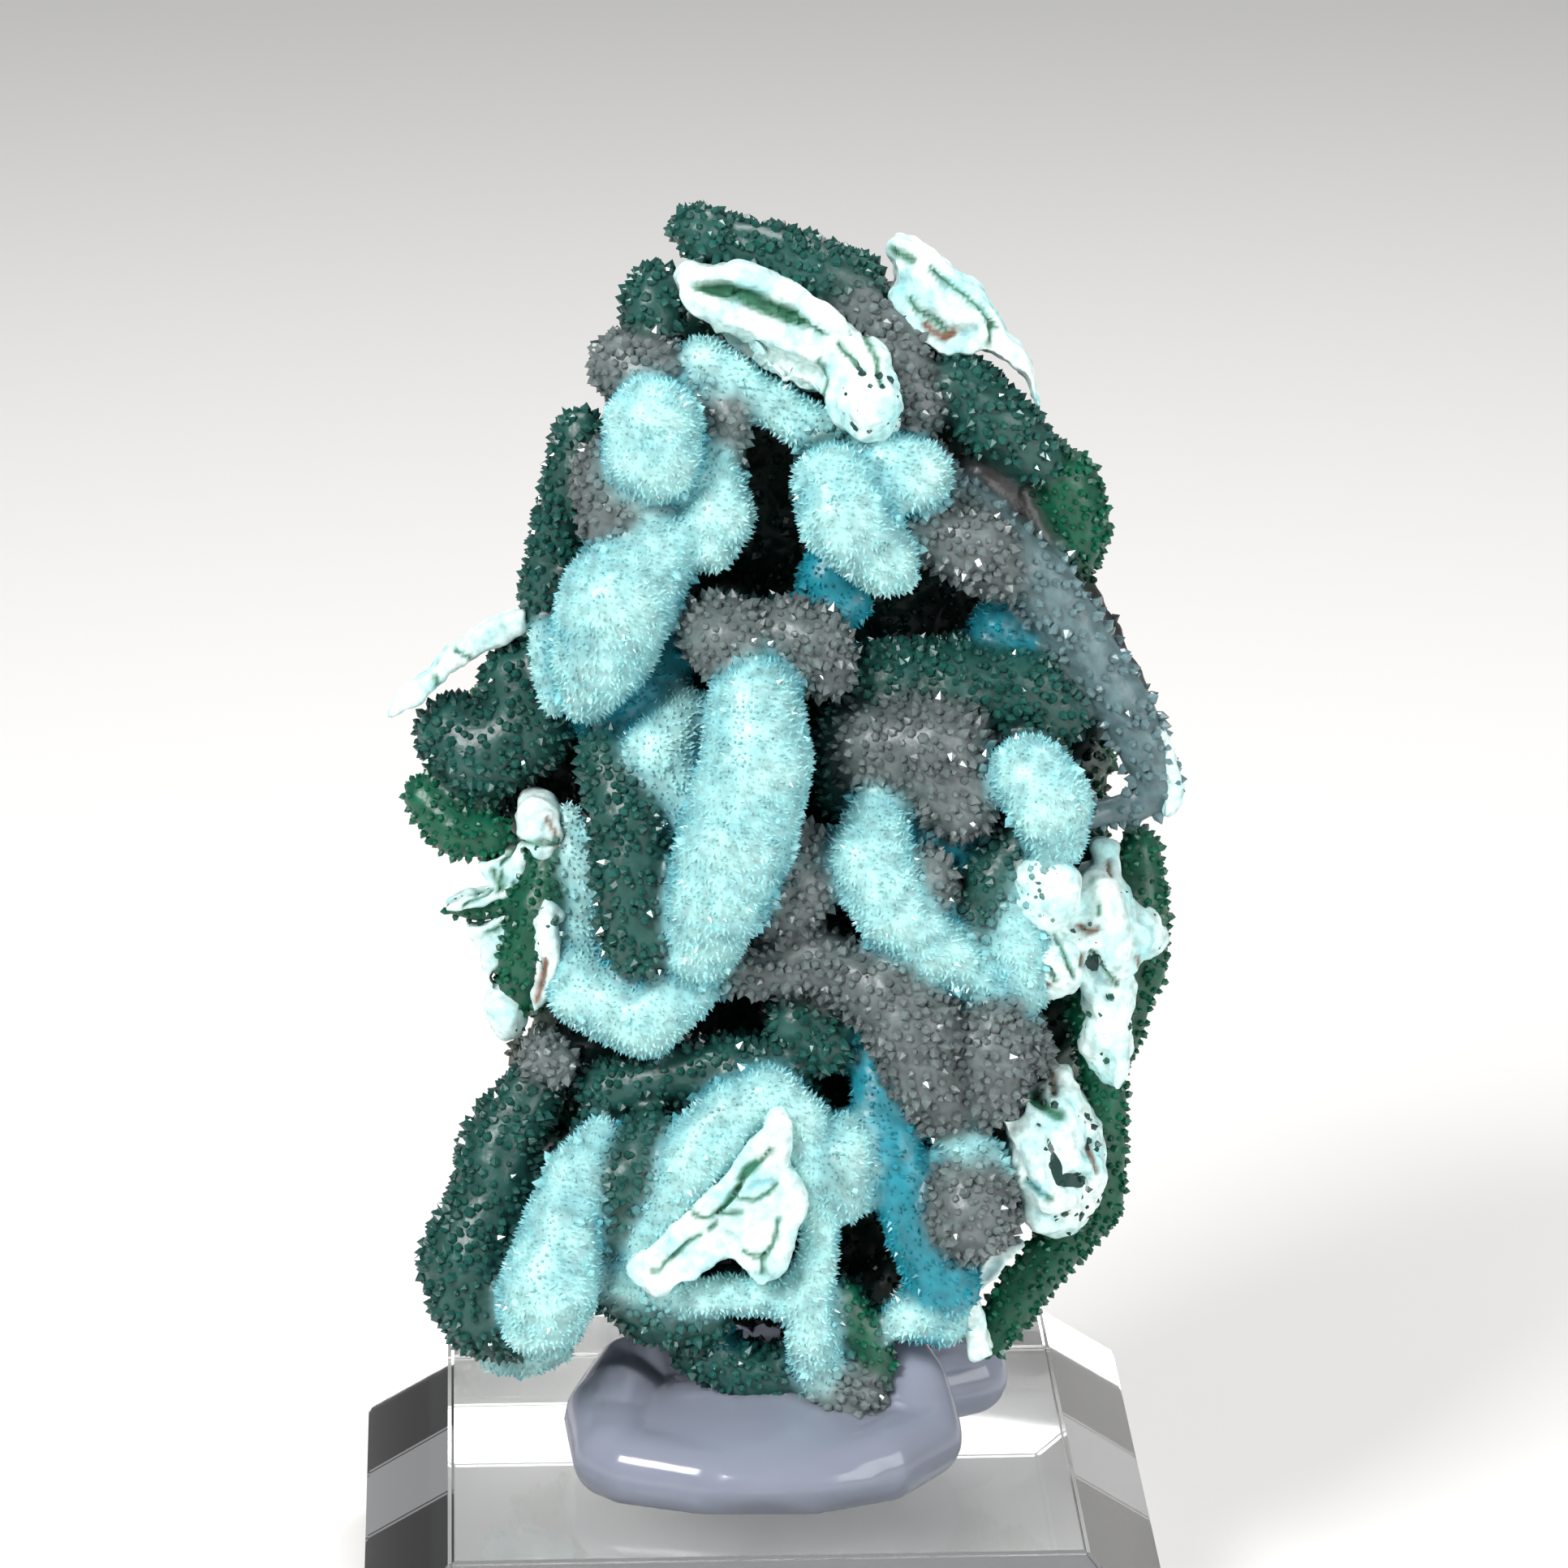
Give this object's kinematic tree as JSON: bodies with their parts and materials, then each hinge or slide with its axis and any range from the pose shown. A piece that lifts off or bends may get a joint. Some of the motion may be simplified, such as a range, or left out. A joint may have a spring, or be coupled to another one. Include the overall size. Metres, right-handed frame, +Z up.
{
  "type": "mineral specimen on a display base",
  "caption": "Upright mineral specimen of chrysocolla with malachite under drusy quartz, held in a pad of mineral tack on a clear bevelled acrylic display base.",
  "frame": {"origin": "centre of the display base's underside", "axes": "+Z up, the specimen's display face looks along -Y, +X to the right of that face"},
  "size_m": [0.0673, 0.0668, 0.12],
  "materials": {
    "chrysocolla_druse": "sugary quartz crystals over blue and green minerals",
    "translucent_tack": "soft, cloudy and glossy",
    "clear_acrylic": "clear and polished"
  },
  "bodies": {
    "root": {"specimen": "chrysocolla_druse", "mineral_tack": "translucent_tack", "acrylic_base": "clear_acrylic"}
  },
  "joints": []
}
